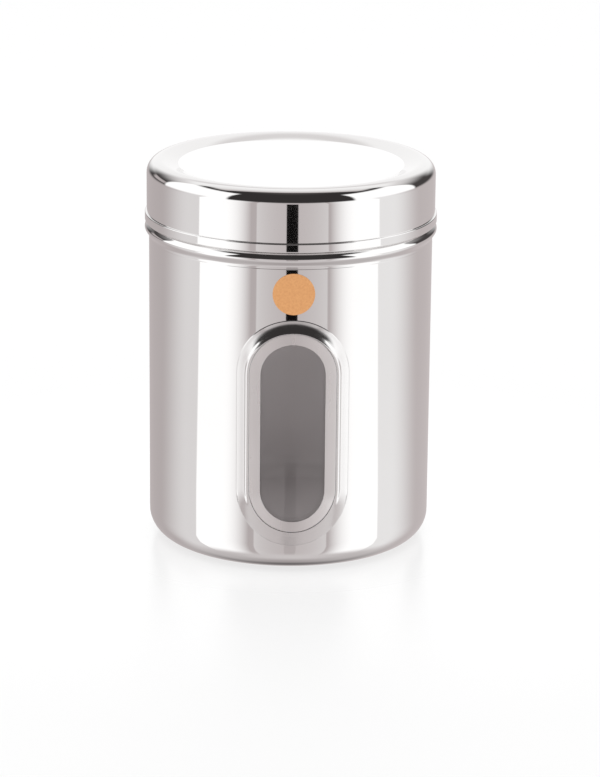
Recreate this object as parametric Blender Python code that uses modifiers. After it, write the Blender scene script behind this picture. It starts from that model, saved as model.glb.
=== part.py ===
"""Stainless steel kitchen spice canister with a press-on lid and an oval see-through window.

The canister stands on the origin with +Z up and its window facing -Y.  All lengths are metres.
Pieces: a drawn steel cup with a raised oval boss, the window set into it from inside (bezel,
pane, gasket and retainer), a plain round label, and a drawn steel lid that lifts straight off.
"""
import math

import bmesh
import bpy

# ---- driving dimensions -------------------------------------------------------------------
SHEET = 0.0005            # steel sheet
GAP = 0.0003              # room left between neighbouring pieces
TURN_STEPS = 60           # facets of every turned piece

BODY_RADIUS = 0.050       # outside of the cup wall
BASE_CORNER = 0.0086      # outside radius of the bottom corner
RIM_HEIGHT = 0.1305       # top of the rolled rim
RIM_ROLL = 0.0010         # radius of the rolled rim
ROLL_RETURN = 0.0014      # how far below the roll's centre its edge meets the inside

BEAD_LOW = 0.1093         # stop bead that the lid rests on
BEAD_HIGH = 0.1155
BEAD_PROUD = 0.0015

LID_RADIUS = BODY_RADIUS + GAP + SHEET
LID_REST_GAP = 0.00005    # the lid's hem rests on the stop bead
LID_BOTTOM = BEAD_HIGH + LID_REST_GAP
LID_HEIGHT = 0.1364       # crown, the highest point
LID_SHOULDER = 0.0048     # outside radius of the shoulder
LID_RING_SLOPE = 16.0     # degrees, how the ring round the recessed centre rises
LID_DISC_RADIUS = 0.03975
LID_DISC_HEIGHT = 0.1348  # flat recessed centre
HEM_TOP = 0.11805         # folded band at the bottom of the lid wall
HEM_PROUD = 0.00065
HEM_EDGE = 0.00035        # the fold's bevels

WINDOW_HEIGHT = 0.0505    # centre of the window above the base
WINDOW_HALF_WIDTH = 0.01126   # along the curved wall
WINDOW_HALF_STRAIGHT = 0.02048
OVAL_ARC_STEPS = 14       # facets of each half-round end

LABEL_HEIGHT = 0.1001
LABEL_RADIUS = 0.00725
LABEL_THICKNESS = 0.0002
LABEL_SWEEP = math.radians(80)    # the label's outer columns stop short of a point

# Sections of the pieces that run round the window.  Each point is (distance outside the clear
# opening, height over the cup wall), so 0, 0 is on the wall's outside at the opening's edge.
BOSS_OUTSIDE = [
    (0.00930, -0.00025), (0.00840, 0.00013), (0.00735, 0.00017), (0.00640, 0.00027),
    (0.00570, 0.00038), (0.00515, 0.00068), (0.00480, 0.00079), (0.00440, 0.00080),
    (0.00402, 0.00064), (0.00392, 0.00030),
]
BOSS_INSIDE = [
    (0.00420, 0.00005), (0.00460, 0.00015), (0.00500, 0.00012), (0.00550, -0.00002),
    (0.00610, -0.00014), (0.00680, -0.00024), (0.00770, -0.00034), (0.00930, -0.00040),
]
BEZEL_SECTION = [
    (0.00000, 0.00025), (0.00000, -0.00005), (0.00362, 0.00000), (0.00362, 0.00048),
]
PANE_MARGIN = 0.0026
PANE_OUTSIDE = -0.0002
PANE_THICKNESS = 0.0020
GASKET_INNER = PANE_MARGIN + GAP
GASKET_OUTER = 0.0046
GASKET_TOP = -0.00025
RETAINER_SECTION = [
    (0.00160, -0.00250), (0.00160, -0.00300), (0.00500, -0.00300), (0.00820, -0.00130),
    (0.00960, -0.00130), (0.00960, -0.00080), (0.00820, -0.00080), (0.00500, -0.00250),
]
HOLE_MARGIN = 0.0080      # the wall's hole, hidden under the boss
CUTTER_DEPTH = 0.030

OUTER_ARC_STEPS = 6       # facets of the outside's arcs
INNER_ARC_STEPS = 5       # facets of the inside's arcs
WELD = 0.00001            # points closer than this are joined

# Base colour, metallic, roughness, transmission.
POLISHED = ((0.78, 0.76, 0.75), 1.0, 0.05, 0.0)
SATIN = ((0.72, 0.70, 0.69), 1.0, 0.22, 0.0)
INSIDE = ((0.66, 0.65, 0.64), 1.0, 0.30, 0.0)
CLEAR = ((0.93, 0.93, 0.93), 0.0, 0.04, 1.0)
SILICONE = ((0.72, 0.73, 0.72), 0.0, 0.55, 0.0)
PAPER = ((0.85, 0.62, 0.36), 0.0, 0.60, 0.0)


# ---- scene and materials ------------------------------------------------------------------
def clear_scene():
    for obj in list(bpy.data.objects):
        bpy.data.objects.remove(obj, do_unlink=True)


def make_collection(name):
    collection = bpy.data.collections.new(name)
    bpy.context.scene.collection.children.link(collection)
    return collection


def make_material(name, look):
    color, metallic, roughness, transmission = look
    material = bpy.data.materials.new(name)
    material.use_nodes = True
    shader = material.node_tree.nodes["Principled BSDF"]
    shader.inputs["Base Color"].default_value = (*color, 1.0)
    shader.inputs["Metallic"].default_value = metallic
    shader.inputs["Roughness"].default_value = roughness
    shader.inputs["Transmission Weight"].default_value = transmission
    return material


def make_object(name, mesh, collection, material=None):
    obj = bpy.data.objects.new(name, mesh)
    collection.objects.link(obj)
    if material is not None:
        mesh.materials.append(material)
    return obj


# ---- shape tools --------------------------------------------------------------------------
def arc(centre, radius, start, end, steps):
    """Points of an arc from angle start to angle end, in degrees."""
    points = []
    for i in range(steps + 1):
        angle = math.radians(start + (end - start) * i / steps)
        points.append((centre[0] + radius * math.cos(angle), centre[1] + radius * math.sin(angle)))
    return points


def turned(name, profile, collection, material):
    """A closed solid of revolution.  The profile starts and ends on the Z axis."""
    mesh = bpy.data.meshes.new(name)
    vertices = [(radius, 0.0, height) for radius, height in profile]
    edges = [(i, i + 1) for i in range(len(vertices) - 1)]
    mesh.from_pydata(vertices, edges, [])
    obj = make_object(name, mesh, collection, material)
    screw = obj.modifiers.new("Turn", "SCREW")
    screw.axis = "Z"
    screw.angle = math.tau
    screw.steps = TURN_STEPS
    screw.render_steps = TURN_STEPS
    screw.use_smooth_shade = True
    screw.use_merge_vertices = True
    screw.merge_threshold = WELD
    return obj


def wrap(along, up, height):
    """Puts a point of the flat window drawing on the round wall, height over its outside."""
    angle = along / BODY_RADIUS
    radius = BODY_RADIUS + height
    return (radius * math.sin(angle), -radius * math.cos(angle), WINDOW_HEIGHT + up)


def oval_directions():
    """The oval's stations: (centre of the round end, outward direction) all the way round."""
    stations = []
    for side, first_angle in ((1, 0.0), (-1, math.pi)):
        for i in range(OVAL_ARC_STEPS + 1):
            angle = first_angle + math.pi * i / OVAL_ARC_STEPS
            centre = side * WINDOW_HALF_STRAIGHT
            stations.append((centre, math.cos(angle), math.sin(angle)))
    return stations


def loft(name, sections, closed, collection, material):
    """Joins sections of equal point count.  An open loft gets its two ends capped."""
    bm = bmesh.new()
    rings = [[bm.verts.new(point) for point in section] for section in sections]
    count = len(rings[0])
    pairs = len(rings) if closed else len(rings) - 1
    for i in range(pairs):
        ring, following = rings[i], rings[(i + 1) % len(rings)]
        for j in range(count):
            k = (j + 1) % count
            bm.faces.new((ring[j], ring[k], following[k], following[j]))
    if not closed:
        bm.faces.new(rings[0][::-1])
        bm.faces.new(rings[-1])
    bmesh.ops.recalc_face_normals(bm, faces=bm.faces)
    mesh = bpy.data.meshes.new(name)
    bm.to_mesh(mesh)
    bm.free()
    return make_object(name, mesh, collection, material)


def oval_ring(name, section, collection, material):
    """Sweeps a closed section round the window's oval, wrapped on the wall."""
    sections = []
    for centre, across, upward in oval_directions():
        points = []
        for margin, height in section:
            reach = WINDOW_HALF_WIDTH + margin
            points.append(wrap(reach * across, centre + reach * upward, height))
        sections.append(points)
    return loft(name, sections, True, collection, material)


def wrapped_plate(name, size, lift, outside, thickness, sweep, collection, material):
    """A plate with round ends that follows the wall, made of upright columns."""
    half_width, half_straight = size
    steps = OVAL_ARC_STEPS
    sections = []
    for i in range(steps + 1):
        angle = sweep * (2.0 * i / steps - 1.0)
        along = half_width * math.sin(angle)
        top = half_straight + half_width * math.cos(angle)
        inside = outside - thickness
        sections.append([
            wrap(along, lift + top, outside), wrap(along, lift - top, outside),
            wrap(along, lift - top, inside), wrap(along, lift + top, inside),
        ])
    return loft(name, sections, False, collection, material)


def oval_prism(name, half_width, half_straight, depth, collection):
    """A straight oval bar along Y, from a filled flat outline with half its depth each way."""
    curve = bpy.data.curves.new(name, "CURVE")
    curve.dimensions = "2D"
    curve.fill_mode = "BOTH"
    curve.extrude = depth / 2
    outline = arc((0.0, half_straight), half_width, 0, 180, 2 * OVAL_ARC_STEPS)
    outline += arc((0.0, -half_straight), half_width, 180, 360, 2 * OVAL_ARC_STEPS)
    spline = curve.splines.new("POLY")
    spline.points.add(len(outline) - 1)
    for point, (x, y) in zip(spline.points, outline):
        point.co = (x, y, 0.0, 1.0)
    spline.use_cyclic_u = True
    flat = make_object(name + "_outline", curve, collection)
    flat.rotation_euler = (math.radians(90), 0.0, 0.0)
    flat.location = (0.0, -BODY_RADIUS, WINDOW_HEIGHT)
    bpy.context.view_layer.update()
    depsgraph = bpy.context.evaluated_depsgraph_get()
    mesh = bpy.data.meshes.new_from_object(flat.evaluated_get(depsgraph))
    bm = bmesh.new()
    bm.from_mesh(mesh)
    bmesh.ops.remove_doubles(bm, verts=bm.verts, dist=WELD)
    bmesh.ops.recalc_face_normals(bm, faces=bm.faces)
    bm.to_mesh(mesh)
    bm.free()
    prism = make_object(name, mesh, collection)
    prism.matrix_world = flat.matrix_world.copy()
    bpy.data.objects.remove(flat, do_unlink=True)
    bpy.data.curves.remove(curve)
    return prism


def hide_tool(obj):
    obj.hide_render = True
    obj.display_type = "WIRE"


def add_boolean(obj, tool, operation):
    modifier = obj.modifiers.new(operation.title(), "BOOLEAN")
    modifier.operation = operation
    modifier.solver = "EXACT"
    modifier.object = tool


# ---- turned profiles ----------------------------------------------------------------------
def bead_arc(radius, steps):
    """The stop bead's arc over a wall of the given radius, from its foot up to its top."""
    half = (BEAD_HIGH - BEAD_LOW) / 2
    bend = (half ** 2 + BEAD_PROUD ** 2) / (2 * BEAD_PROUD)
    spread = math.degrees(math.asin(half / bend))
    centre = (radius + BEAD_PROUD - bend, BEAD_LOW + half)
    return arc(centre, bend, -spread, spread, steps)


def cup_profile():
    """Up the inside from the floor, over the rolled rim, and down the outside."""
    inner_radius = BODY_RADIUS - SHEET
    corner = (BODY_RADIUS - BASE_CORNER, BASE_CORNER)
    roll = (BODY_RADIUS - RIM_ROLL, RIM_HEIGHT - RIM_ROLL)
    points = [(0.0, SHEET)]
    points += arc(corner, BASE_CORNER - SHEET, -90, 0, INNER_ARC_STEPS)
    points += bead_arc(inner_radius, INNER_ARC_STEPS)
    points += [(inner_radius, roll[1] - ROLL_RETURN)]
    points += arc(roll, RIM_ROLL, 270, 0, OUTER_ARC_STEPS)
    points += reversed(bead_arc(BODY_RADIUS, OUTER_ARC_STEPS))
    points += arc(corner, BASE_CORNER, 0, -90, OUTER_ARC_STEPS)
    points += [(0.0, 0.0)]
    return points


def lid_profile():
    """From the disc up the sloping ring, over the shoulder, down to the hem, and back inside."""
    shoulder = (LID_RADIUS - LID_SHOULDER, LID_HEIGHT - LID_SHOULDER)
    crown = 90 + LID_RING_SLOPE
    hem_radius = LID_RADIUS + HEM_PROUD
    points = [(0.0, LID_DISC_HEIGHT), (LID_DISC_RADIUS, LID_DISC_HEIGHT)]
    points += arc(shoulder, LID_SHOULDER, crown, 0, OUTER_ARC_STEPS)
    points += [(LID_RADIUS, HEM_TOP), (hem_radius - HEM_EDGE, HEM_TOP), (hem_radius, HEM_TOP - HEM_EDGE)]
    points += [(hem_radius, LID_BOTTOM + HEM_EDGE), (hem_radius - HEM_EDGE, LID_BOTTOM)]
    points += [(LID_RADIUS - SHEET, LID_BOTTOM)]
    points += arc(shoulder, LID_SHOULDER - SHEET, 0, crown, INNER_ARC_STEPS)
    points += [(LID_DISC_RADIUS, LID_DISC_HEIGHT - SHEET), (0.0, LID_DISC_HEIGHT - SHEET)]
    return points


# ---- the pieces ---------------------------------------------------------------------------
def make_canister_body(parts, tools, material):
    """The drawn cup, with the oval boss pressed out round the window's hole."""
    cup = turned("canister_body", cup_profile(), parts, material)
    hole_reach = BODY_RADIUS * math.sin((WINDOW_HALF_WIDTH + HOLE_MARGIN) / BODY_RADIUS)
    straight = WINDOW_HALF_STRAIGHT + WINDOW_HALF_WIDTH + HOLE_MARGIN - hole_reach
    hole = oval_prism("window_hole_cutter", hole_reach, straight, CUTTER_DEPTH, tools)
    boss = oval_ring("boss_form", BOSS_OUTSIDE + BOSS_INSIDE, tools, material)
    hide_tool(hole)
    hide_tool(boss)
    add_boolean(cup, hole, "DIFFERENCE")
    add_boolean(cup, boss, "UNION")
    return cup


def make_window(parts, steel, inner_steel, clear, silicone):
    oval_ring("window_bezel", BEZEL_SECTION, parts, steel)
    wrapped_plate(
        "window_pane", (WINDOW_HALF_WIDTH + PANE_MARGIN, WINDOW_HALF_STRAIGHT), 0.0,
        PANE_OUTSIDE, PANE_THICKNESS, math.pi / 2, parts, clear,
    )
    pane_inside = PANE_OUTSIDE - PANE_THICKNESS
    gasket_section = [
        (GASKET_INNER, GASKET_TOP), (GASKET_INNER, pane_inside),
        (GASKET_OUTER, pane_inside), (GASKET_OUTER, GASKET_TOP),
    ]
    oval_ring("window_gasket", gasket_section, parts, silicone)
    oval_ring("window_retainer", RETAINER_SECTION, parts, inner_steel)


def make_label(parts, paper):
    """A plain round paper label stuck on the wall over the window."""
    wrapped_plate(
        "round_label", (LABEL_RADIUS, 0.0), LABEL_HEIGHT - WINDOW_HEIGHT,
        GAP + LABEL_THICKNESS, LABEL_THICKNESS, LABEL_SWEEP, parts, paper,
    )


def make_lid(parts, material):
    return turned("lid", lid_profile(), parts, material)


def main():
    clear_scene()
    parts = make_collection("spice_canister")
    tools = make_collection("cutters")
    polished = make_material("polished_steel", POLISHED)
    lid_steel = make_material("lid_steel", POLISHED)
    satin = make_material("satin_steel", SATIN)
    inner_steel = make_material("inner_steel", INSIDE)
    clear = make_material("clear_acrylic", CLEAR)
    silicone = make_material("clear_silicone", SILICONE)
    paper = make_material("label_paper", PAPER)
    make_canister_body(parts, tools, polished)
    make_window(parts, satin, inner_steel, clear, silicone)
    make_label(parts, paper)
    make_lid(parts, lid_steel)


main()
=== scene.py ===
"""The looks of the see-through steel spice canister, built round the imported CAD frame.

Lengths are metres.  Angles are degrees, unless a comment says radians.  The window faces -Y and
+Z is up.
"""

import math

import bmesh
import bpy
from mathutils import Matrix, Vector


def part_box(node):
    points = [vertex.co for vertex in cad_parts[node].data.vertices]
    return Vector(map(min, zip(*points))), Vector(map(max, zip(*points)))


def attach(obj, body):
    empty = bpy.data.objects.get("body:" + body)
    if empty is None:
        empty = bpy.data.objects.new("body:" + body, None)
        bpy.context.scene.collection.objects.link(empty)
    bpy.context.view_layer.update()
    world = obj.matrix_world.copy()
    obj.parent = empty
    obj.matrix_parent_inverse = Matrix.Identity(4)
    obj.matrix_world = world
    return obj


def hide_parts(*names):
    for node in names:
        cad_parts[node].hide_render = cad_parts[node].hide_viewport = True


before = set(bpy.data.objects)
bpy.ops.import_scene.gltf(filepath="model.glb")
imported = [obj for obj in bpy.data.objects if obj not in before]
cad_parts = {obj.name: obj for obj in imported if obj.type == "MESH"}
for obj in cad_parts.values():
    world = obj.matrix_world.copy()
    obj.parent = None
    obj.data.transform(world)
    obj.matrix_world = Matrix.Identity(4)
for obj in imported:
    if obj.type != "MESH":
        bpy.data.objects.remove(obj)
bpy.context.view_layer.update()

# ---- dimensions read off the frame ----------------------------------------------------------
MM = 0.001
SHEET = 0.5 * MM
body_low, body_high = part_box("canister_body")
lid_low, lid_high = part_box("lid")
bezel_low, bezel_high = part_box("window_bezel")
label_low, label_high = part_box("round_label")

BEAD_PROUD = 1.5 * MM
BODY_RADIUS = body_high.x - BEAD_PROUD        # outside of the cup wall
RIM_HEIGHT = body_high.z
BASE_CORNER = 8.6 * MM
RIM_ROLL = 1.0 * MM
ROLL_DEPTH = 2.4 * RIM_ROLL                   # from the rim down to where the roll meets the neck
ROLL_STEPS = 24
CORNER_STEPS = 10
BASE_RINGS = 4
NECK_RINGS = 3
BEAD_LOW = 109.3 * MM
BEAD_HIGH = lid_low.z - 0.05 * MM
BEAD_STEPS = 28
GROOVE_WIDTH = 0.7 * MM
GROOVE_DEPTH = 0.03 * MM
GROOVE_STEPS = 8

LID_RADIUS = BODY_RADIUS + 0.8 * MM
LID_HEIGHT = lid_high.z
LID_BOTTOM = lid_low.z - 0.85 * MM            # the hem reaches over the bead's upper slope
LID_SHOULDER = 4.8 * MM
LID_DISC_RADIUS = 39.75 * MM
LID_RING_SLOPES = (20.0, 12.0)                # degrees, at the sunk centre and at the shoulder
HEM_EDGE = 0.45 * MM
LID_DISC_HEIGHT = LID_HEIGHT - 1.6 * MM
HEM_TOP = 118.05 * MM
HEM_RADIUS = lid_high.x
LID_RINGS = 8
SHOULDER_STEPS = 32
FOLD_STEPS = 16
HEM_STEPS = 8

WINDOW_HEIGHT = (bezel_low.z + bezel_high.z) / 2
OPENING_HALF_WIDTH = 11.26 * MM               # measured along the curved wall
OPENING_HALF_STRAIGHT = 20.48 * MM

LABEL_HEIGHT = (label_low.z + label_high.z) / 2
LABEL_RADIUS = (label_high.z - label_low.z) / 2
LABEL_THICKNESS = 0.12 * MM
LABEL_LIFT = 0.03 * MM                        # the glue under it
LABEL_STEPS = 96
LABEL_RINGS = 8

TURN_STEPS = 360
STEP_ANGLE = math.tau / TURN_STEPS            # radians
PATCH_HALF_STEPS = 26                         # half width of the window patch in turn steps
PATCH_LOW = 7.5 * MM                          # heights measured along the wall's profile
PATCH_HIGH = 93.5 * MM
PATCH_ROWS = 43
PATCH_RISE = (PATCH_HIGH - PATCH_LOW) / PATCH_ROWS


# ---- mesh building --------------------------------------------------------------------------
class Skin:
    """Collects faces with an exact normal at every corner and welds points that coincide."""

    def __init__(self):
        self.index = {}
        self.points = []
        self.faces = []
        self.normals = []
        self.slots = []

    def vertex(self, point):
        key = (round(point[0] * 1e7), round(point[1] * 1e7), round(point[2] * 1e7))
        if key not in self.index:
            self.index[key] = len(self.points)
            self.points.append(tuple(point))
        return self.index[key]

    def face(self, corners, slot=0):
        """corners are (point, normal) pairs; corners that coincide are dropped."""
        used = []
        for point, normal in corners:
            number = self.vertex(point)
            if number not in [n for n, _ in used]:
                used.append((number, normal))
        if len(used) < 3:
            return
        a, b, c = (Vector(self.points[n]) for n, _ in used[:3])
        facing = (b - a).cross(c - b)
        mean = Vector((0.0, 0.0, 0.0))
        for _, normal in used:
            mean += Vector(normal)
        if facing.dot(mean) < 0:
            used.reverse()
        self.faces.append([n for n, _ in used])
        self.normals.extend(tuple(normal) for _, normal in used)
        self.slots.append(slot)

    def grid(self, rows, slot=0, closed=False):
        """rows is a list of rows of (point, normal)."""
        for lower, upper in zip(rows, rows[1:]):
            count = len(lower)
            for i in range(count if closed else count - 1):
                k = (i + 1) % count
                self.face((lower[i], lower[k], upper[k], upper[i]), slot)

    def build(self, name, materials):
        mesh = bpy.data.meshes.new(name)
        mesh.from_pydata(self.points, [], self.faces)
        mesh.update()
        for material in materials:
            mesh.materials.append(material)
        for polygon, slot in zip(mesh.polygons, self.slots):
            polygon.use_smooth = True
            polygon.material_index = slot
        mesh.normals_split_custom_set(self.normals)
        obj = bpy.data.objects.new(name, mesh)
        bpy.context.scene.collection.objects.link(obj)
        return obj


def arc_strip(centre, radius, start, end, steps, hollow=False):
    """Profile points (r, z, normal r, normal z) along an arc; hollow turns the normals inward."""
    strip = []
    sign = -1.0 if hollow else 1.0
    for i in range(steps + 1):
        angle = math.radians(start + (end - start) * i / steps)
        c, s = math.cos(angle), math.sin(angle)
        strip.append((centre[0] + radius * c, centre[1] + radius * s, sign * c, sign * s))
    return strip


def line_strip(start, end, steps, normal):
    strip = []
    for i in range(steps + 1):
        t = i / steps
        strip.append((start[0] + (end[0] - start[0]) * t, start[1] + (end[1] - start[1]) * t, *normal))
    return strip


def crowned_strip(start, end, steps, tilts, sign):
    """A nearly straight run whose normals turn from one tilt to the other."""
    strip = []
    for i, (radius, height, _, _) in enumerate(line_strip(start, end, steps, (0.0, 0.0))):
        tilt = math.radians(tilts[0] + (tilts[1] - tilts[0]) * i / steps)
        strip.append((radius, height, sign * math.cos(tilt), sign * math.sin(tilt)))
    return strip


def turn(skin, strip, slot=0, skip=None):
    """Turns a profile strip about Z.  skip(i, j) leaves out a cell of the grid."""
    rows = []
    for radius, height, across, upward in strip:
        row = []
        for k in range(TURN_STEPS):
            angle = k * STEP_ANGLE
            s, c = math.sin(angle), -math.cos(angle)
            row.append(((radius * s, radius * c, height), (across * s, across * c, upward)))
        rows.append(row)
    for j in range(len(rows) - 1):
        for i in range(TURN_STEPS):
            if skip is not None and skip(i, j):
                continue
            k = (i + 1) % TURN_STEPS
            skin.face((rows[j][i], rows[j][k], rows[j + 1][k], rows[j + 1][i]), slot)


# ---- the wall's curved drawing plane --------------------------------------------------------
def wall_frame(along, up):
    """Radius, height and normal of the cup's outside at a height measured along its profile."""
    angle = along / BODY_RADIUS
    bend = max(0.0, (BASE_CORNER - up) / BASE_CORNER)
    across, upward = math.cos(bend), -math.sin(bend)
    if bend > 0.0:
        radius = BODY_RADIUS - BASE_CORNER + BASE_CORNER * across
        height = BASE_CORNER + BASE_CORNER * upward
    else:
        radius, height = BODY_RADIUS, up
    return angle, radius, height, across, upward


def wall_point(along, up, proud):
    angle, radius, height, across, upward = wall_frame(along, up)
    r = radius + proud * across
    return Vector((r * math.sin(angle), -r * math.cos(angle), height + proud * upward))


def wall_normal(along, up):
    angle, _, _, across, upward = wall_frame(along, up)
    return Vector((across * math.sin(angle), -across * math.cos(angle), upward))


def patch_border():
    """The window patch's outline on the wall's grid, anticlockwise from the lower right."""
    half = PATCH_HALF_STEPS * STEP_ANGLE * BODY_RADIUS
    width = half / PATCH_HALF_STEPS
    border = [(half, PATCH_LOW + PATCH_RISE * j) for j in range(PATCH_ROWS)]
    border += [(half - width * i, PATCH_HIGH) for i in range(2 * PATCH_HALF_STEPS)]
    border += [(-half, PATCH_HIGH - PATCH_RISE * j) for j in range(PATCH_ROWS)]
    border += [(-half + width * i, PATCH_LOW) for i in range(2 * PATCH_HALF_STEPS)]
    return border


def oval_stations():
    """(centre height, direction across, direction up, reach of the patch border) round the oval."""
    stations = []
    for along, up in patch_border():
        offset = up - WINDOW_HEIGHT
        centre = max(-OPENING_HALF_STRAIGHT, min(OPENING_HALF_STRAIGHT, offset))
        reach = math.hypot(along, offset - centre)
        stations.append((WINDOW_HEIGHT + centre, along / reach, (offset - centre) / reach, reach))
    return stations


STATIONS = oval_stations()


def section_normals(section, closed):
    """2D normals (outward along the margin, proud) of a section, averaged at each point."""
    count = len(section)
    normals = []
    for i in range(count):
        before = section[(i - 1) % count] if closed or i > 0 else section[i]
        after = section[(i + 1) % count] if closed or i < count - 1 else section[i]
        along, proud = after[0] - before[0], after[1] - before[1]
        size = math.hypot(along, proud)
        normals.append((proud / size, -along / size))
    return normals


def eased(value, start, end):
    """0 at the start, 1 at the end, smooth between."""
    t = max(0.0, min(1.0, (value - start) / (end - start)))
    return t * t * (3.0 - 2.0 * t)


def crown_share(upward):
    """Weight of the section above the window, by how far up a direction points (-1 to 1)."""
    return eased(upward, 0.32, 0.80)


def heel_share(upward):
    return eased(-upward, 0.0, 0.40)


def side_share(upward):
    return 1.0 - crown_share(upward) - heel_share(upward)


def swept_point(station, margin, proud, out, lift):
    """A point of a section standing at a station of the oval, with its normal."""
    centre, across, upward, _ = station
    reach = OPENING_HALF_WIDTH + margin
    along, up = reach * across, centre + reach * upward
    angle = along / BODY_RADIUS
    right = Vector((math.cos(angle), math.sin(angle), 0.0))
    outward = right * across + Vector((0.0, 0.0, upward))
    normal = outward * out + wall_normal(along, up) * lift
    return wall_point(along, up, proud), normal.normalized()


def sweep(skin, shares, loop=False, slot=0):
    """Sweeps sections round the window.  shares pairs each section with its weight by direction.
    The outside lies right of a section's run."""
    blended = []
    for section, share in shares:
        normals = section_normals(section[:-1], True) if loop else section_normals(section, False)
        if loop:
            normals.append(normals[0])
        blended.append([(*point, *normal) for point, normal in zip(section, normals)])
    rows = []
    for values in zip(*blended):
        row = []
        for station in STATIONS:
            weights = [share(station[2]) for _, share in shares]
            mixed = [sum(w * v[k] for w, v in zip(weights, values)) for k in range(4)]
            row.append(swept_point(station, *mixed))
        rows.append(row)
    skin.grid(rows, slot, closed=True)


def everywhere(upward):
    return 1.0


def off_heel_share(upward):
    return 1.0 - heel_share(upward)


def smooth_path(points, steps):
    """A Catmull-Rom curve through listed points."""
    path = []
    for i in range(len(points) - 1):
        p0 = points[max(i - 1, 0)]
        p1, p2 = points[i], points[i + 1]
        p3 = points[min(i + 2, len(points) - 1)]
        for k in range(steps):
            t = k / steps
            path.append(tuple(
                0.5 * (2 * b + (c - a) * t + (2 * a - 5 * b + 4 * c - d) * t * t
                       + (3 * b - a - 3 * c + d) * t ** 3)
                for a, b, c, d in zip(p0, p1, p2, p3)
            ))
    path.append(tuple(points[-1]))
    return path


def millimetres(points):
    return [(a * MM, b * MM) for a, b in points]


# The boss from its foot on the wall to its inner lip: a shallow band with a bead beside the window,
# a band that rises towards the bead above it, and a low dished one below.
BOSS_FOOT = 8.75 * MM
BOSS_FLANK = millimetres([
    (8.75, 0.00), (8.70, 0.01), (8.45, 0.12), (8.38, 0.13), (7.35, 0.15), (6.40, 0.165), (5.80, 0.185),
    (5.62, 0.23), (5.15, 0.60), (5.02, 0.67), (4.80, 0.72), (4.50, 0.735), (4.22, 0.715), (4.08, 0.66),
    (3.98, 0.56), (3.95, 0.40),
])
BOSS_CROWN = millimetres([
    (8.75, 0.00), (8.70, 0.01), (8.45, 0.08), (8.38, 0.09), (7.35, 0.19), (6.40, 0.36), (5.80, 0.52),
    (5.62, 0.57), (5.15, 0.72), (5.02, 0.76), (4.80, 0.83), (4.50, 0.92), (4.30, 0.97), (4.12, 0.98),
    (3.99, 0.86), (3.95, 0.30),
])
BOSS_HEEL = millimetres([
    (8.75, 0.00), (8.72, 0.02), (8.46, 0.37), (8.40, 0.40), (8.30, 0.397), (7.35, 0.33), (5.80, 0.222),
    (5.62, 0.21), (5.15, 0.175), (5.02, 0.165), (4.80, 0.15), (4.50, 0.128), (4.22, 0.108), (4.08, 0.098),
    (3.98, 0.09), (3.95, 0.04),
])
BOSS_FINENESS = 4                             # steps between two points of a boss section
INSIDE_FINENESS = 3
BOSS_INSIDE = millimetres([
    (4.20, -0.10), (4.60, -0.10), (5.00, -0.12), (5.50, -0.16), (6.10, -0.22), (6.80, -0.29),
    (7.70, -0.40), (8.75, -0.50),
])


# ---- the pieces -----------------------------------------------------------------------------
def wall_rows(top):
    """Heights of the wall's grid rows from the patch's top up to the given height."""
    return [PATCH_LOW + PATCH_RISE * j for j in range(PATCH_ROWS + 1)] + [top]


def in_patch(i, j):
    """Whether a cell of the wall's grid lies in the window patch."""
    return j < PATCH_ROWS and (i < PATCH_HALF_STEPS or i >= TURN_STEPS - PATCH_HALF_STEPS)


def wall_strip(top, proud, sign):
    strip = []
    for up in wall_rows(top):
        _, radius, height, across, upward = wall_frame(0.0, up)
        strip.append((radius + proud * across, height + proud * upward, sign * across, sign * upward))
    return strip


def corner_strip(proud, sign):
    """The bottom corner below the window patch."""
    strip = []
    lowest = BASE_CORNER - BASE_CORNER * math.pi / 2
    for i in range(CORNER_STEPS + 1):
        up = lowest + (PATCH_LOW - lowest) * i / CORNER_STEPS
        _, radius, height, across, upward = wall_frame(0.0, up)
        strip.append((radius + proud * across, height + proud * upward, sign * across, sign * upward))
    return strip


def fill_patch(skin, proud, foot, sign, slot):
    """The wall between the boss's foot and the patch's border."""
    rows = []
    for share in (0.0, 0.33, 0.67, 1.0):
        row = []
        for centre, across, upward, border in STATIONS:
            start = OPENING_HALF_WIDTH + foot
            reach = start + (border - start) * share
            along, up = reach * across, centre + reach * upward
            row.append((wall_point(along, up, proud), wall_normal(along, up) * sign))
        rows.append(row)
    skin.grid(rows, slot, closed=True)


def bead_strips(proud, sign):
    """The fine groove and the stop bead above the patch, and the neck up to the rolled rim."""
    bead = []
    half = (BEAD_HIGH - BEAD_LOW) / 2
    for i in range(BEAD_STEPS + 1):
        t = i / BEAD_STEPS
        lift = BEAD_PROUD * (1 - math.cos(math.tau * t)) / 2
        slope = BEAD_PROUD * math.pi * math.sin(math.tau * t) / 2 / half
        bead.append(wall_profile_point(BEAD_LOW + 2 * half * t, proud, lift, slope, sign))
    groove = []
    for i in range(GROOVE_STEPS + 1):
        t = i / GROOVE_STEPS
        lift = -GROOVE_DEPTH * (1 - math.cos(math.tau * t)) / 2
        slope = -GROOVE_DEPTH * math.pi * math.sin(math.tau * t) / GROOVE_WIDTH
        height = BEAD_LOW - GROOVE_WIDTH * (1 - t)
        groove.append(wall_profile_point(height, proud, lift, slope, sign))
    neck_top = RIM_HEIGHT - (RIM_ROLL if sign > 0 else ROLL_DEPTH)
    radius = BODY_RADIUS + proud
    neck = line_strip((radius, BEAD_HIGH), (radius, neck_top), NECK_RINGS, (sign, 0.0))
    return groove + bead[1:], neck


def wall_profile_point(height, proud, lift, slope, sign):
    """A point of the straight wall's profile, lifted off it and sloped."""
    size = math.hypot(1.0, slope)
    across, upward = 1.0 / size, -slope / size
    radius = BODY_RADIUS + lift + proud * across
    return radius, height + proud * upward, sign * across, sign * upward


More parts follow.
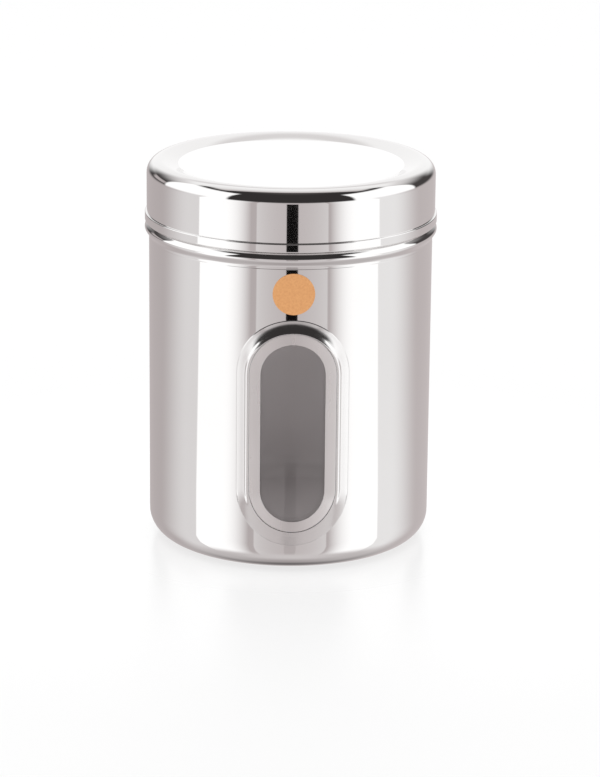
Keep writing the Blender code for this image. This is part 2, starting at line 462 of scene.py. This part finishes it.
def make_boss(skin):
    """The raised surround and the inside of its lip, in the cup's third and second materials."""
    boss = [(BOSS_CROWN, crown_share), (BOSS_FLANK, side_share), (BOSS_HEEL, heel_share)]
    sweep(skin, [(smooth_path(section, BOSS_FINENESS), share) for section, share in boss], False, 2)
    inside = smooth_path(BOSS_INSIDE, INSIDE_FINENESS)
    sweep(skin, [([BOSS_FLANK[-1], inside[0]], everywhere)], False, 1)
    sweep(skin, [(inside, everywhere)], False, 1)


def make_cup(polished, inner, pressed):
    skin = Skin()
    for proud, sign, slot in ((0.0, 1.0, 0), (-SHEET, -1.0, 1)):
        bead, neck = bead_strips(proud, sign)
        wall = wall_strip(bead[0][1], proud, sign)
        corner = corner_strip(proud, sign)
        base_edge = corner[0][:2]
        turn(skin, line_strip((0.0, base_edge[1]), base_edge, BASE_RINGS, (0.0, -sign)), slot)
        turn(skin, corner, slot)
        turn(skin, wall, slot, in_patch)
        turn(skin, bead, slot)
        turn(skin, neck, slot)
        fill_patch(skin, proud, BOSS_FOOT, sign, slot)
    roll = (BODY_RADIUS - RIM_ROLL, RIM_HEIGHT - RIM_ROLL)
    rim = arc_strip(roll, RIM_ROLL, 0, 270, ROLL_STEPS)
    turn(skin, rim, 0)
    inner_top = (BODY_RADIUS - SHEET, RIM_HEIGHT - ROLL_DEPTH)
    turn(skin, line_strip(rim[-1][:2], inner_top, 1, (-0.7, -0.7)), 1)
    make_boss(skin)
    cup = skin.build("cup", [polished, inner, pressed])
    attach(cup, "canister")
    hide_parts("canister_body")
    return cup


def make_lid(polished, inner, bright):
    skin = Skin()
    crown = (LID_RADIUS - LID_SHOULDER, LID_HEIGHT - LID_SHOULDER)
    disc = LID_DISC_RADIUS
    tilts = [90.0 + slope for slope in LID_RING_SLOPES]
    shoulder = arc_strip(crown, LID_SHOULDER, tilts[1], 0, SHOULDER_STEPS)
    ring = crowned_strip((disc, LID_DISC_HEIGHT), shoulder[0][:2], LID_RINGS, tilts, 1.0)
    # the sunk centre's disc takes the third material, steel lightened as a painted highlight
    turn(skin, line_strip((0.0, LID_DISC_HEIGHT), (disc, LID_DISC_HEIGHT), LID_RINGS, (0.0, 1.0)), 2)
    turn(skin, ring, 0)
    turn(skin, shoulder, 0)
    turn(skin, line_strip((LID_RADIUS, crown[1]), (LID_RADIUS, HEM_TOP), 6, (1.0, 0.0)), 0)
    edge = HEM_EDGE
    hem_top = (HEM_RADIUS - edge, HEM_TOP - edge)
    turn(skin, line_strip((LID_RADIUS, HEM_TOP), (HEM_RADIUS - edge, HEM_TOP), 1, (0.0, 1.0)), 0)
    turn(skin, arc_strip(hem_top, edge, 90, 0, HEM_STEPS), 0)
    inner_radius = LID_RADIUS - SHEET
    fold = (HEM_RADIUS - inner_radius) / 2
    fold_centre = (inner_radius + fold, LID_BOTTOM + fold)
    turn(skin, line_strip((HEM_RADIUS, hem_top[1]), (HEM_RADIUS, fold_centre[1]), 2, (1.0, 0.0)), 0)
    turn(skin, arc_strip(fold_centre, fold, 0, -180, FOLD_STEPS), 0)
    turn(skin, line_strip((inner_radius, fold_centre[1]), (inner_radius, crown[1]), 4, (-1.0, 0.0)), 1)
    under = arc_strip(crown, LID_SHOULDER - SHEET, 0, tilts[1], SHOULDER_STEPS // 2, True)
    turn(skin, under, 1)
    below = LID_DISC_HEIGHT - SHEET
    turn(skin, crowned_strip(under[-1][:2], (disc, below), 3, tilts[::-1], -1.0), 1)
    turn(skin, line_strip((disc, below), (0.0, below), 4, (0.0, -1.0)), 1)
    lid = skin.build("lid_cap", [polished, inner, bright])
    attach(lid, "lid")
    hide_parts("lid")
    return lid


ROUNDING_STEPS = 4
LONGEST_CUT = 0.45                            # share of a section's side that a rounding may take


def rounded_section(corners, radius):
    """Rounds the corners of a closed polygon section with small curves."""
    section = []
    count = len(corners)
    for i in range(count):
        here = Vector(corners[i])
        before = Vector(corners[i - 1]) - here
        after = Vector(corners[(i + 1) % count]) - here
        cut = min(radius, before.length * LONGEST_CUT, after.length * LONGEST_CUT)
        start = here + before.normalized() * cut
        end = here + after.normalized() * cut
        for k in range(ROUNDING_STEPS + 1):
            t = k / ROUNDING_STEPS
            section.append(tuple(start * (1 - t) ** 2 + here * 2 * t * (1 - t) + end * t * t))
    return section


def closed_ring(name, corners, heel, radius, material):
    """A closed, rounded section swept round the window, changing to the heel's below it."""
    skin = Skin()
    sides = rounded_section(corners, radius)
    below = rounded_section(heel, radius)
    sides.append(sides[0])
    below.append(below[0])
    sweep(skin, [(sides, off_heel_share), (below, heel_share)], True)
    return skin.build(name, [material])


BEZEL_CORNERS = millimetres([(0.0, 0.25), (0.0, -0.05), (3.87, 0.00), (3.87, 0.50)])
BEZEL_HEEL = millimetres([(0.0, 0.21), (0.0, -0.15), (3.87, -0.15), (3.87, 0.10)])
GASKET_CORNERS = millimetres([(2.9, -0.25), (2.9, -2.20), (4.6, -2.20), (4.6, -0.25)])
RETAINER_CORNERS = millimetres([
    (1.6, -2.5), (1.6, -3.0), (5.0, -3.0), (8.2, -1.3), (9.6, -1.3), (9.6, -0.8), (8.2, -0.8), (5.0, -2.5),
])
BEZEL_ROUNDING = 0.15 * MM
GASKET_ROUNDING = 0.3 * MM
RETAINER_ROUNDING = 0.25 * MM
PANE_MARGIN = 2.6 * MM
PANE_OUTSIDE = -0.2 * MM
PANE_THICKNESS = 2.0 * MM
PANE_INSIDE = PANE_OUTSIDE - PANE_THICKNESS
PANE_EASE = 0.3 * MM                          # width of the bevel round its edges
PANE_LEAN = 0.045                             # tangent of the slight upward lean of its polish
PANE_SHARES = (1.0, 0.8, 0.6, 0.4, 0.2, 0.0)


def make_bezel(material):
    bezel = closed_ring("bezel", BEZEL_CORNERS, BEZEL_HEEL, BEZEL_ROUNDING, material)
    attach(bezel, "canister")
    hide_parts("window_bezel")


def make_gasket(material):
    gasket = closed_ring("gasket", GASKET_CORNERS, GASKET_CORNERS, GASKET_ROUNDING, material)
    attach(gasket, "canister")
    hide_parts("window_gasket")


def make_retainer(material):
    section = RETAINER_CORNERS
    retainer = closed_ring("retainer", section, section, RETAINER_ROUNDING, material)
    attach(retainer, "canister")
    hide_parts("window_retainer")


def pane_rows(proud, sign):
    """Concentric rows from the pane's edge to its spine."""
    rows = []
    outer = OPENING_HALF_WIDTH + PANE_MARGIN - PANE_EASE
    for share in PANE_SHARES:
        row = []
        for centre, across, upward, _ in STATIONS:
            reach = outer * share
            along, up = reach * across, centre + reach * upward
            normal = wall_normal(along, up) * sign + Vector((0.0, 0.0, PANE_LEAN))
            row.append((wall_point(along, up, proud), normal.normalized()))
        rows.append(row)
    return rows


def make_pane(material):
    skin = Skin()
    skin.grid(pane_rows(PANE_OUTSIDE, 1.0), 0, closed=True)
    skin.grid(pane_rows(PANE_INSIDE, -1.0), 0, closed=True)
    edge = [
        (PANE_MARGIN - PANE_EASE, PANE_INSIDE), (PANE_MARGIN, PANE_INSIDE + PANE_EASE),
        (PANE_MARGIN, PANE_OUTSIDE - PANE_EASE), (PANE_MARGIN - PANE_EASE, PANE_OUTSIDE),
    ]
    sweep(skin, [(edge, everywhere)])
    pane = skin.build("pane", [material])
    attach(pane, "canister")
    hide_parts("window_pane")


def label_disc(proud, sign):
    """One face of the label, as rings from its middle to its edge."""
    rows = []
    for j in range(LABEL_RINGS + 1):
        reach = LABEL_RADIUS * j / LABEL_RINGS
        row = []
        for i in range(LABEL_STEPS):
            angle = math.tau * i / LABEL_STEPS
            along, up = reach * math.cos(angle), LABEL_HEIGHT + reach * math.sin(angle)
            row.append((wall_point(along, up, proud), wall_normal(along, up) * sign))
        rows.append(row)
    return rows


def make_label(material):
    """A plain round label that follows the wall."""
    skin = Skin()
    front = label_disc(LABEL_LIFT + LABEL_THICKNESS, 1.0)
    back = label_disc(LABEL_LIFT, -1.0)
    skin.grid(front, 0, closed=True)
    skin.grid(back, 0, closed=True)
    rim_front, rim_back = [], []
    for i in range(LABEL_STEPS):
        angle = math.tau * i / LABEL_STEPS
        out = Vector((math.cos(angle), 0.0, math.sin(angle)))
        rim_front.append((front[-1][i][0], out))
        rim_back.append((back[-1][i][0], out))
    skin.grid([rim_front, rim_back], 0, closed=True)
    label = skin.build("plain_label", [material])
    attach(label, "canister")
    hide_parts("round_label")


# ---- materials ------------------------------------------------------------------------------
class Nodes:
    """Short calls for building a node material."""

    def __init__(self, name):
        self.material = bpy.data.materials.new(name)
        self.material.use_nodes = True
        self.tree = self.material.node_tree
        self.shader = self.tree.nodes["Principled BSDF"]

    def add(self, kind, **values):
        node = self.tree.nodes.new(kind)
        for key, value in values.items():
            setattr(node, key, value)
        return node

    def link(self, source, target):
        self.tree.links.new(source, target)

    def noise(self, scale, detail=4.0, stretch=(1.0, 1.0, 1.0)):
        coords = self.add("ShaderNodeTexCoord")
        mapping = self.add("ShaderNodeMapping")
        mapping.inputs["Scale"].default_value = stretch
        noise = self.add("ShaderNodeTexNoise")
        noise.inputs["Scale"].default_value = scale
        noise.inputs["Detail"].default_value = detail
        self.link(coords.outputs["Object"], mapping.inputs["Vector"])
        self.link(mapping.outputs["Vector"], noise.inputs["Vector"])
        return noise.outputs["Fac"]

    def span(self, value, low, high, start=0.3, end=0.7):
        """Maps a value to the range low to high."""
        node = self.add("ShaderNodeMapRange")
        node.inputs["From Min"].default_value = start
        node.inputs["From Max"].default_value = end
        node.inputs["To Min"].default_value = low
        node.inputs["To Max"].default_value = high
        self.link(value, node.inputs["Value"])
        return node.outputs["Result"]

    def tint(self, value, dark, light):
        """Base colour that drifts between two tints with the value."""
        node = self.add("ShaderNodeValToRGB")
        for element, position, color in zip(node.color_ramp.elements, (0.3, 0.7), (dark, light)):
            element.position = position
            element.color = (*color, 1.0)
        self.link(value, node.inputs["Fac"])
        self.link(node.outputs["Color"], self.shader.inputs["Base Color"])

    def roughness(self, value, low, high):
        self.link(self.span(value, low, high), self.shader.inputs["Roughness"])

    def bump(self, value, strength, distance):
        node = self.add("ShaderNodeBump")
        node.inputs["Strength"].default_value = strength
        node.inputs["Distance"].default_value = distance
        self.link(value, node.inputs["Height"])
        self.link(node.outputs["Normal"], self.shader.inputs["Normal"])

    def set(self, **values):
        for key, value in values.items():
            self.shader.inputs[key.replace("_", " ")].default_value = value


STEEL_DARK = (0.775, 0.766, 0.762)
STEEL_LIGHT = (0.795, 0.788, 0.785)
STEEL = 0.785                                 # mean reflectance of the polished steel


def polished_steel(name):
    m = Nodes(name)
    m.set(Metallic=1.0)
    m.tint(m.noise(18.0, 3.0), STEEL_DARK, STEEL_LIGHT)
    m.roughness(m.noise(240.0, 5.0, (1.0, 1.0, 0.12)), 0.028, 0.050)
    return m.material


def pressed_steel(name):
    """The boss, where pressing has stretched the sheet and dulled its polish."""
    m = Nodes(name)
    m.set(Metallic=1.0)
    m.tint(m.noise(22.0, 3.0), STEEL_DARK, STEEL_LIGHT)
    m.roughness(m.noise(260.0, 5.0), 0.11, 0.15)
    return m.material


def painted_highlight_steel(name):
    """The lid's sunk centre, in a lighter copy of the polished steel: a painted highlight that makes the
    disc show white.
    """
    m = Nodes(name)
    m.set(Metallic=1.0)
    m.tint(m.noise(14.0, 3.0), (0.895, 0.892, 0.890), (0.915, 0.912, 0.910))
    m.roughness(m.noise(120.0, 4.0), 0.03, 0.05)
    return m.material


def inner_steel(name):
    """The unpolished inside, whose matt skin scatters part of the light."""
    m = Nodes(name)
    m.set(Metallic=0.6)
    m.tint(m.noise(30.0, 4.0), (0.650, 0.618, 0.620), (0.710, 0.676, 0.680))
    rings = m.noise(60.0, 5.0, (1.0, 1.0, 14.0))
    m.roughness(rings, 0.30, 0.38)
    m.bump(rings, 0.02, 0.0001)
    return m.material


def satin_steel(name):
    """The bezel, brushed along its height."""
    m = Nodes(name)
    m.set(Metallic=1.0)
    m.tint(m.noise(40.0, 3.0), (0.830, 0.812, 0.806), (0.860, 0.842, 0.836))
    grain = m.noise(900.0, 3.0, (1.0, 1.0, 0.06))
    m.roughness(grain, 0.27, 0.31)
    m.bump(grain, 0.02, 0.00003)
    return m.material


def clear_acrylic(name):
    m = Nodes(name)
    m.set(Transmission_Weight=1.0, IOR=1.49)
    m.tint(m.noise(25.0, 2.0), (0.90, 0.89, 0.89), (0.93, 0.925, 0.92))
    m.roughness(m.noise(120.0, 4.0), 0.01, 0.03)
    return m.material


def clear_silicone(name):
    m = Nodes(name)
    m.set(Transmission_Weight=0.35, IOR=1.41, Subsurface_Weight=0.3, Subsurface_Scale=0.002)
    m.tint(m.noise(80.0, 3.0), (0.62, 0.63, 0.62), (0.72, 0.73, 0.72))
    m.roughness(m.noise(200.0, 3.0), 0.42, 0.58)
    return m.material


def label_paper(name):
    m = Nodes(name)
    fibres = m.noise(1400.0, 6.0)
    m.tint(fibres, (0.66, 0.30, 0.11), (0.76, 0.38, 0.15))
    m.roughness(fibres, 0.45, 0.60)
    m.bump(fibres, 0.10, 0.00004)
    return m.material


# ---- studio ---------------------------------------------------------------------------------
CAMERA_AZIMUTH = -1.47        # left of the window's normal
CAMERA_ELEVATION = 16.03
CAMERA_ROLL = 0.50
CAMERA_DISTANCE = 1.1862
CAMERA_TARGET = Vector((0.0, 0.0, 0.0571))
CAMERA_LENS = 153.6
SENSOR = 36.0
AIM_RIGHT = 0.00318           # radians from the target to the view's centre
AIM_DOWN = 0.00392


def make_camera():
    azimuth = math.radians(CAMERA_AZIMUTH)
    elevation = math.radians(CAMERA_ELEVATION)
    roll = math.radians(CAMERA_ROLL)
    back = Vector((
        math.sin(azimuth) * math.cos(elevation),
        -math.cos(azimuth) * math.cos(elevation),
        math.sin(elevation),
    ))
    level_right = Vector((math.cos(azimuth), math.sin(azimuth), 0.0))
    level_up = back.cross(level_right)
    right = level_right * math.cos(roll) + level_up * math.sin(roll)
    up = level_up * math.cos(roll) - level_right * math.sin(roll)
    axis = (back - right * AIM_RIGHT + up * AIM_DOWN).normalized()
    right = up.cross(axis).normalized()
    up = axis.cross(right)
    data = bpy.data.cameras.new("camera")
    data.lens = CAMERA_LENS
    data.sensor_width = SENSOR
    camera = bpy.data.objects.new("camera", data)
    bpy.context.scene.collection.objects.link(camera)
    place = CAMERA_TARGET + back * CAMERA_DISTANCE
    rotation = Matrix((right, up, axis)).transposed().to_4x4()
    camera.matrix_world = Matrix.Translation(place) @ rotation
    bpy.context.scene.camera = camera


WHITE_TONE = 250.0            # panels from this tone up are pure white
TINT_RATE = 0.00002
TINT_FLOOR = 0.91


def panel_light(tone):
    """Linear brightness of a panel that shows on the steel as a tone from 0 to 255."""
    value = tone / 255.0
    linear = value / 12.92 if value <= 0.04045 else ((value + 0.055) / 1.055) ** 2.4
    return linear / STEEL


# The panels below eye level, of one make on both sides of the camera: a backdrop in front, a softbox
# and a curtain behind the object.  Azimuths are from the camera and tones run from 0 to 255.
BACKDROP_TONES = (188, 206)                   # beside the camera, and at the softbox
SOFTBOX_TONES = (177, 257)                    # at its masked inner edge, and in full light
SOFTBOX_FADE = (32.0, 55.0)                   # azimuths over which the mask ends
CURTAIN_FADE = (90.0, 130.0)                  # azimuths over which the curtain darkens
PANEL_EDGE = 0.5                              # half width of a panel's soft edge
LEFT_SIDE = (27.5, 79.5, (214, 175))          # softbox's two edges, curtain's two tones
RIGHT_SIDE = (30.5, 76.5, (228, 184))
SEAM = (-3.3, 6.1)                            # azimuths of the gap between the front backdrops
SEAM_OPEN = (-18.1, -12.4)                    # elevations where the gap shows the dark room
SEAM_FAINT = (-48.0, -18.0)                   # elevations where it is only a faint stripe
FRONT_EDGE = 112.0                            # azimuth, to either side, where the charcoal ends
SOFTBOX_LEFT = (-117.0, -51.0)                # azimuths of the softboxes above eye level
SOFTBOX_RIGHT = (51.0, 114.0)
CURTAIN_GAP = (-140.0, -118.0)
CURTAIN_GAP_RISE = (3.0, 12.0)


class World:
    """The studio round the object, as a node world."""

    def __init__(self):
        self.world = bpy.data.worlds.new("studio")
        bpy.context.scene.world = self.world
        self.world.use_nodes = True
        self.tree = self.world.node_tree
        self.tree.nodes.clear()

    def add(self, kind, **values):
        node = self.tree.nodes.new(kind)
        for key, value in values.items():
            setattr(node, key, value)
        return node

    def link(self, source, target):
        self.tree.links.new(source, target)

    def math(self, operation, a, b=None):
        node = self.add("ShaderNodeMath", operation=operation)
        for socket, value in zip(node.inputs, (a, b)):
            if value is None:
                continue
            if isinstance(value, (int, float)):
                socket.default_value = value
            else:
                self.link(value, socket)
        return node.outputs["Value"]

    def step(self, value, start, end):
        """0 below start, 1 above end, smooth between."""
        node = self.add("ShaderNodeMapRange", interpolation_type="SMOOTHSTEP")
        node.inputs["From Min"].default_value = start
        node.inputs["From Max"].default_value = end
        self.link(value, node.inputs["Value"])
        return node.outputs["Result"]

    def ease_out(self, value, start, end):
        """0 below start, 1 above end, steep at first and flat at last."""
        node = self.add("ShaderNodeMapRange")
        node.inputs["From Min"].default_value = start
        node.inputs["From Max"].default_value = end
        node.inputs["To Min"].default_value = 1.0
        node.inputs["To Max"].default_value = 0.0
        self.link(value, node.inputs["Value"])
        rest = node.outputs["Result"]
        return self.math("SUBTRACT", 1.0, self.both(rest, rest))

    def mix(self, factor, a, b):
        node = self.add("ShaderNodeMix", data_type="RGBA")
        self.link(factor, node.inputs["Factor"])
        for socket, value in ((node.inputs[6], a), (node.inputs[7], b)):
            if isinstance(value, tuple):
                socket.default_value = (*value, 1.0)
            else:
                self.link(value, socket)
        return node.outputs[2]

    def band(self, value, span, soft):
        """1 inside the span, with soft edges."""
        rise = self.step(value, span[0] - soft, span[0] + soft)
        fall = self.step(value, span[1] - soft, span[1] + soft)
        return self.math("SUBTRACT", rise, fall)

    def both(self, a, b):
        return self.math("MULTIPLY", a, b)

    def fade(self, value, start, end, tones):
        """A panel that changes from one tone to the other."""
        return self.mix(self.step(value, start, end), tinted(tones[0]), tinted(tones[1]))


def tinted(tone):
    """Panel colour; the greys carry a faint warm tint, the whites none."""
    light = panel_light(tone)
    cool = max(TINT_FLOOR, 1.0 - TINT_RATE * max(0.0, WHITE_TONE - tone) ** 2)
    return (light, light * cool, light * cool)


def side_panels(w, turn_size, inner, outer, curtain_tones):
    """Backdrop, softbox and curtain on one side, by how far a direction turns from the camera."""
    share = w.math("DIVIDE", turn_size, inner)
    backdrop = w.mix(w.both(share, share), tinted(BACKDROP_TONES[0]), tinted(BACKDROP_TONES[1]))
    mask = w.ease_out(turn_size, *SOFTBOX_FADE)
    softbox = w.mix(mask, tinted(SOFTBOX_TONES[0]), tinted(SOFTBOX_TONES[1]))
    curtain = w.fade(turn_size, *CURTAIN_FADE, curtain_tones)
    panels = w.mix(w.step(turn_size, inner - PANEL_EDGE, inner + PANEL_EDGE), backdrop, softbox)
    return w.mix(w.step(turn_size, outer - PANEL_EDGE, outer + PANEL_EDGE), panels, curtain)


def low_panels(w, azimuth, turn_size, elevation):
    """The panels below eye level, and the seam between the two in front."""
    left = side_panels(w, turn_size, *LEFT_SIDE)
    right = side_panels(w, turn_size, *RIGHT_SIDE)
    panels = w.mix(w.step(azimuth, -0.05, 0.05), left, right)
    seam = w.band(azimuth, SEAM, 0.3)
    faint = w.both(seam, w.band(elevation, SEAM_FAINT, 0.4))
    panels = w.mix(w.both(faint, 0.8), panels, tinted(172))
    dark = w.both(seam, w.band(elevation, SEAM_OPEN, 0.2))
    return w.mix(dark, panels, tinted(15))


def low_studio(w, azimuth, elevation):
    """What stands round the object below eye level, and the table under it, which is in shade
    beside and behind the object.  The panels lean outward a little towards the table."""
    lean = w.both(w.math("ADD", w.math("MAXIMUM", elevation, -18.0), 15.5), 0.012)
    azimuth = w.both(azimuth, w.math("ADD", lean, 1.0))
    turn_size = w.math("ABSOLUTE", azimuth)
    panels = low_panels(w, azimuth, turn_size, elevation)
    table = w.fade(elevation, -62.0, -90.0, (198, 160))
    low = w.mix(w.step(elevation, -36.0, -56.0), panels, table)
    beside = w.both(w.step(turn_size, 20.0, 100.0), w.step(elevation, -44.0, -64.0))
    behind = w.both(w.step(turn_size, 105.0, 175.0), w.step(elevation, -34.0, -58.0))
    shade = w.math("ADD", w.both(beside, 0.2), w.both(behind, 0.75))
    shade = w.both(shade, w.step(elevation, -90.0, -72.0))
    return w.mix(shade, low, tinted(100))


def curtains(w, azimuth, turn_size, elevation):
    """The curtains behind the object, dark at the foot, with a gap at the left and a white wall
    showing between them."""
    cloth = w.fade(elevation, 14.0, 44.0, (66, 214))
    gap = w.both(w.band(azimuth, CURTAIN_GAP, 4.0), w.band(elevation, CURTAIN_GAP_RISE, 2.0))
    cloth = w.mix(gap, cloth, tinted(176))
    spread = w.both(w.math("MAXIMUM", w.math("SUBTRACT", 12.0, elevation), 0.0), 0.8)
    edge = w.math("SUBTRACT", turn_size, spread)
    return w.mix(w.step(edge, 138.0, 162.0), cloth, tinted(238))


def high_studio(w, azimuth, elevation, rearward):
    """Charcoal ceiling in front, softboxes at the sides, curtains behind and a white ceiling over
    the back half."""
    turn_size = w.math("ABSOLUTE", azimuth)
    charcoal = w.fade(elevation, 60.0, 88.0, (50, 84))
    back = curtains(w, azimuth, turn_size, elevation)
    around = w.mix(w.step(turn_size, FRONT_EDGE, FRONT_EDGE + 5.0), charcoal, back)
    boxes = w.math("ADD", w.band(azimuth, SOFTBOX_LEFT, 2.0), w.band(azimuth, SOFTBOX_RIGHT, 2.0))
    around = w.mix(w.both(boxes, w.step(elevation, 51.0, 44.0)), around, tinted(258))
    ceiling = w.fade(rearward, 0.0, 0.25, (198, 230))
    ceiling = w.mix(w.step(rearward, 0.2, 0.6), ceiling, tinted(244))
    open_sky = w.both(w.step(rearward, -0.11, -0.01), w.step(elevation, 52.0, 60.0))
    behind = w.both(w.step(turn_size, FRONT_EDGE, FRONT_EDGE + 8.0), w.step(elevation, 40.0, 50.0))
    high = w.mix(w.math("MAXIMUM", open_sky, behind), around, ceiling)
    rail = w.both(w.step(turn_size, 140.0, 160.0), w.band(elevation, (38.0, 50.0), 4.0))
    return w.mix(rail, high, tinted(214))


def make_world():
    """Steel mirrors the painted studio; matt surfaces and the camera see plain white."""
    w = World()
    coords = w.add("ShaderNodeTexCoord")
    split = w.add("ShaderNodeSeparateXYZ")
    w.link(coords.outputs["Generated"], split.inputs["Vector"])
    x, y, z = split.outputs
    turned = w.math("DEGREES", w.math("ARCTAN2", x, w.both(y, -1.0)))
    azimuth = w.math("SUBTRACT", turned, CAMERA_AZIMUTH)
    elevation = w.math("DEGREES", w.math("ARCSINE", z))
    low = low_studio(w, azimuth, elevation)
    high = high_studio(w, azimuth, elevation, y)
    studio = w.mix(w.step(elevation, -7.5, 2.5), low, high)
    path = w.add("ShaderNodeLightPath")
    white = (1.0, 1.0, 1.0)
    studio = w.mix(path.outputs["Is Diffuse Ray"], studio, white)
    studio = w.mix(path.outputs["Is Camera Ray"], studio, white)
    background = w.add("ShaderNodeBackground")
    w.link(studio, background.inputs["Color"])
    output = w.add("ShaderNodeOutputWorld")
    w.link(background.outputs["Background"], output.inputs["Surface"])


FLOOR_SIZE = 6.0
OVERHEAD_SIZE = 3.0
OVERHEAD_HEIGHT = 2.5
OVERHEAD_WATTS = 40.0
INNER_SIZE = 10.0 * MM
INNER_HEIGHT = 45.0 * MM
INNER_WATTS = 0.035


def make_floor():
    """A pale floor, glossy at the object's foot and matt further out."""
    mesh = bpy.data.meshes.new("floor")
    bm = bmesh.new()
    bmesh.ops.create_grid(bm, x_segments=1, y_segments=1, size=FLOOR_SIZE / 2)
    bm.to_mesh(mesh)
    bm.free()
    floor = bpy.data.objects.new("floor", mesh)
    bpy.context.scene.collection.objects.link(floor)
    m = Nodes("pale_floor")
    m.set(Base_Color=(0.20, 0.20, 0.20, 1.0), IOR=1.32)
    m.set(Emission_Color=(1.0, 1.0, 1.0, 1.0), Emission_Strength=0.67)
    coords = m.add("ShaderNodeTexCoord")
    distance = m.add("ShaderNodeVectorMath", operation="LENGTH")
    m.link(coords.outputs["Object"], distance.inputs[0])
    gloss = m.span(distance.outputs["Value"], low=0.22, high=0.60, start=0.05, end=0.20)
    m.link(gloss, m.shader.inputs["Roughness"])
    mesh.materials.append(m.material)
    floor.visible_glossy = False
    floor.visible_transmission = False


def make_overhead_light():
    """A broad soft light over the set, which keeps the pale floor bright."""
    data = bpy.data.lights.new("overhead", "AREA")
    data.shape = "DISK"
    data.size = OVERHEAD_SIZE
    data.energy = OVERHEAD_WATTS
    lamp = bpy.data.objects.new("overhead", data)
    bpy.context.scene.collection.objects.link(lamp)
    lamp.location = (0.0, 0.0, OVERHEAD_HEIGHT)
    lamp.visible_glossy = False


def make_inner_light():
    """A small lamp inside the cup that stands in for daylight let in by the window."""
    data = bpy.data.lights.new("inner", "POINT")
    data.shadow_soft_size = INNER_SIZE
    data.energy = INNER_WATTS
    lamp = bpy.data.objects.new("inner", data)
    bpy.context.scene.collection.objects.link(lamp)
    lamp.location = (0.0, 0.0, INNER_HEIGHT)
    lamp.visible_camera = False
    lamp.visible_glossy = False
    lamp.visible_transmission = False


# ---- the scene ------------------------------------------------------------------------------
polished = polished_steel("polished_steel_look")
lid_polished = polished_steel("lid_steel_look")
inside_look = inner_steel("inner_steel_look")
satin = satin_steel("satin_steel_look")

make_camera()
make_world()
make_floor()
make_overhead_light()
make_inner_light()
make_cup(polished, inside_look, pressed_steel("pressed_steel_look"))
make_lid(lid_polished, inside_look, painted_highlight_steel("bright_steel_look"))
make_bezel(satin)
make_pane(clear_acrylic("clear_acrylic_look"))
make_gasket(clear_silicone("clear_silicone_look"))
make_retainer(inside_look)
make_label(label_paper("label_paper_look"))

bpy.context.scene.view_settings.view_transform = "Standard"
